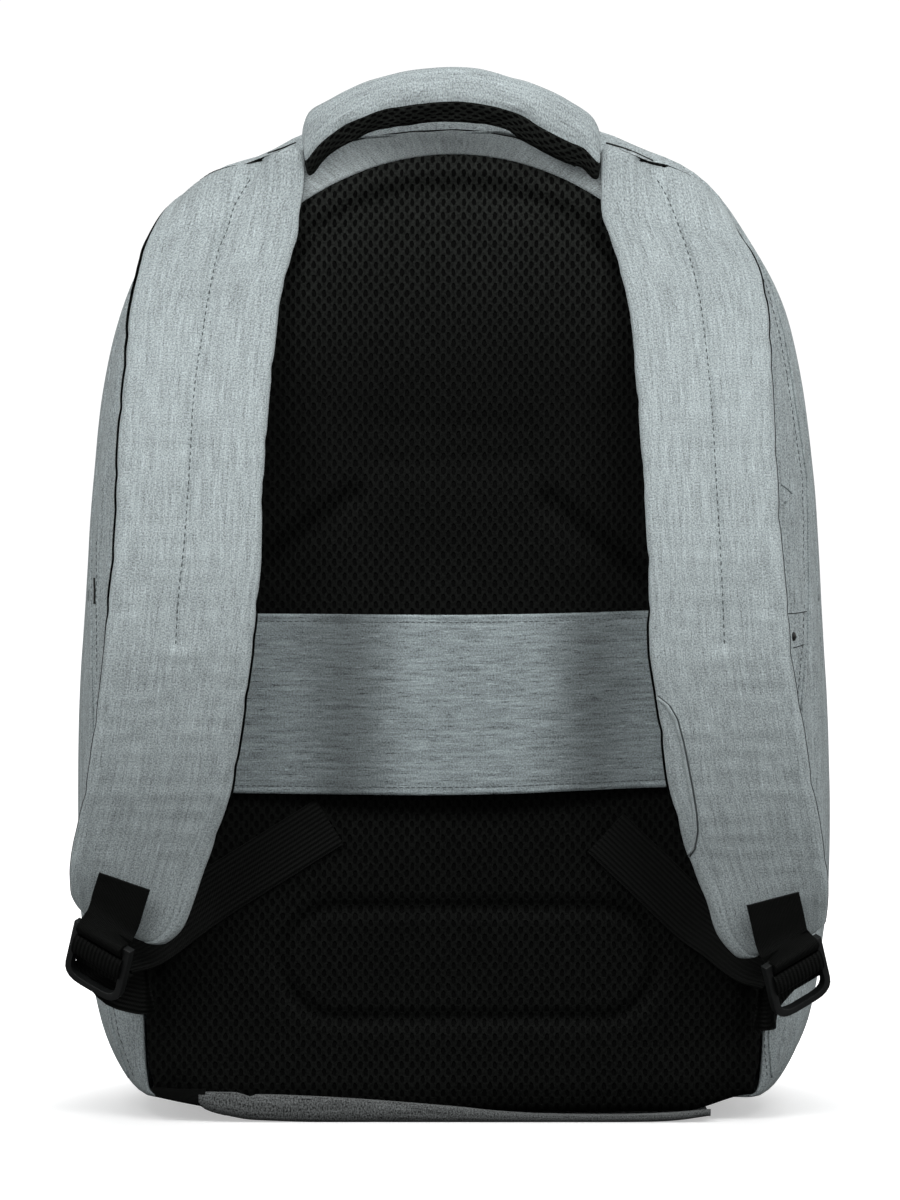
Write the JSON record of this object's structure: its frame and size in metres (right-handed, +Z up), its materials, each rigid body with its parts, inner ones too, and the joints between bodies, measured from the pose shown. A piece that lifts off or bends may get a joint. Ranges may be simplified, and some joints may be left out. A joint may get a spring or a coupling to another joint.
{
  "type": "anti theft backpack",
  "caption": "Grey cloth backpack seen from the wearer's side: padded mesh back, curved shoulder straps, grab handle, trolley band and hidden zip.",
  "frame": {"origin": "middle of the base of the whole object's box, on the surface that it stands on", "axes": "+Z up, +X to the right when looking at the mesh back panel, which faces -Y; the front of the bag faces +Y"},
  "size_m": [0.371, 0.2566, 0.4963],
  "materials": {
    "grey_cloth": "light grey melange polyester with fine vertical streaks",
    "black_mesh": "black knitted air mesh with rows of small holes",
    "black_webbing": "ribbed black webbing",
    "zip_tape": "black woven zip tape",
    "dark_plastic": "moulded, satin"
  },
  "bodies": {
    "root": {"front_shell": "grey_cloth", "rear_gusset": "grey_cloth", "main_zip": "zip_tape", "back_panel": "black_mesh", "yoke": "grey_cloth", "luggage_band": "grey_cloth", "base_panel": "grey_cloth", "handle_cover": "grey_cloth", "handle_lining": "black_mesh", "strap_left": "grey_cloth", "strap_lining_left": "black_mesh", "tab_left": "black_webbing", "buckle_left": "dark_plastic", "adjuster_left": "black_webbing", "tail_left": "black_webbing", "side_piping_left": "grey_cloth", "strap_right": "grey_cloth", "strap_lining_right": "black_mesh", "tab_right": "black_webbing", "buckle_right": "dark_plastic", "adjuster_right": "black_webbing", "tail_right": "black_webbing", "side_piping_right": "grey_cloth"}
  },
  "joints": []
}
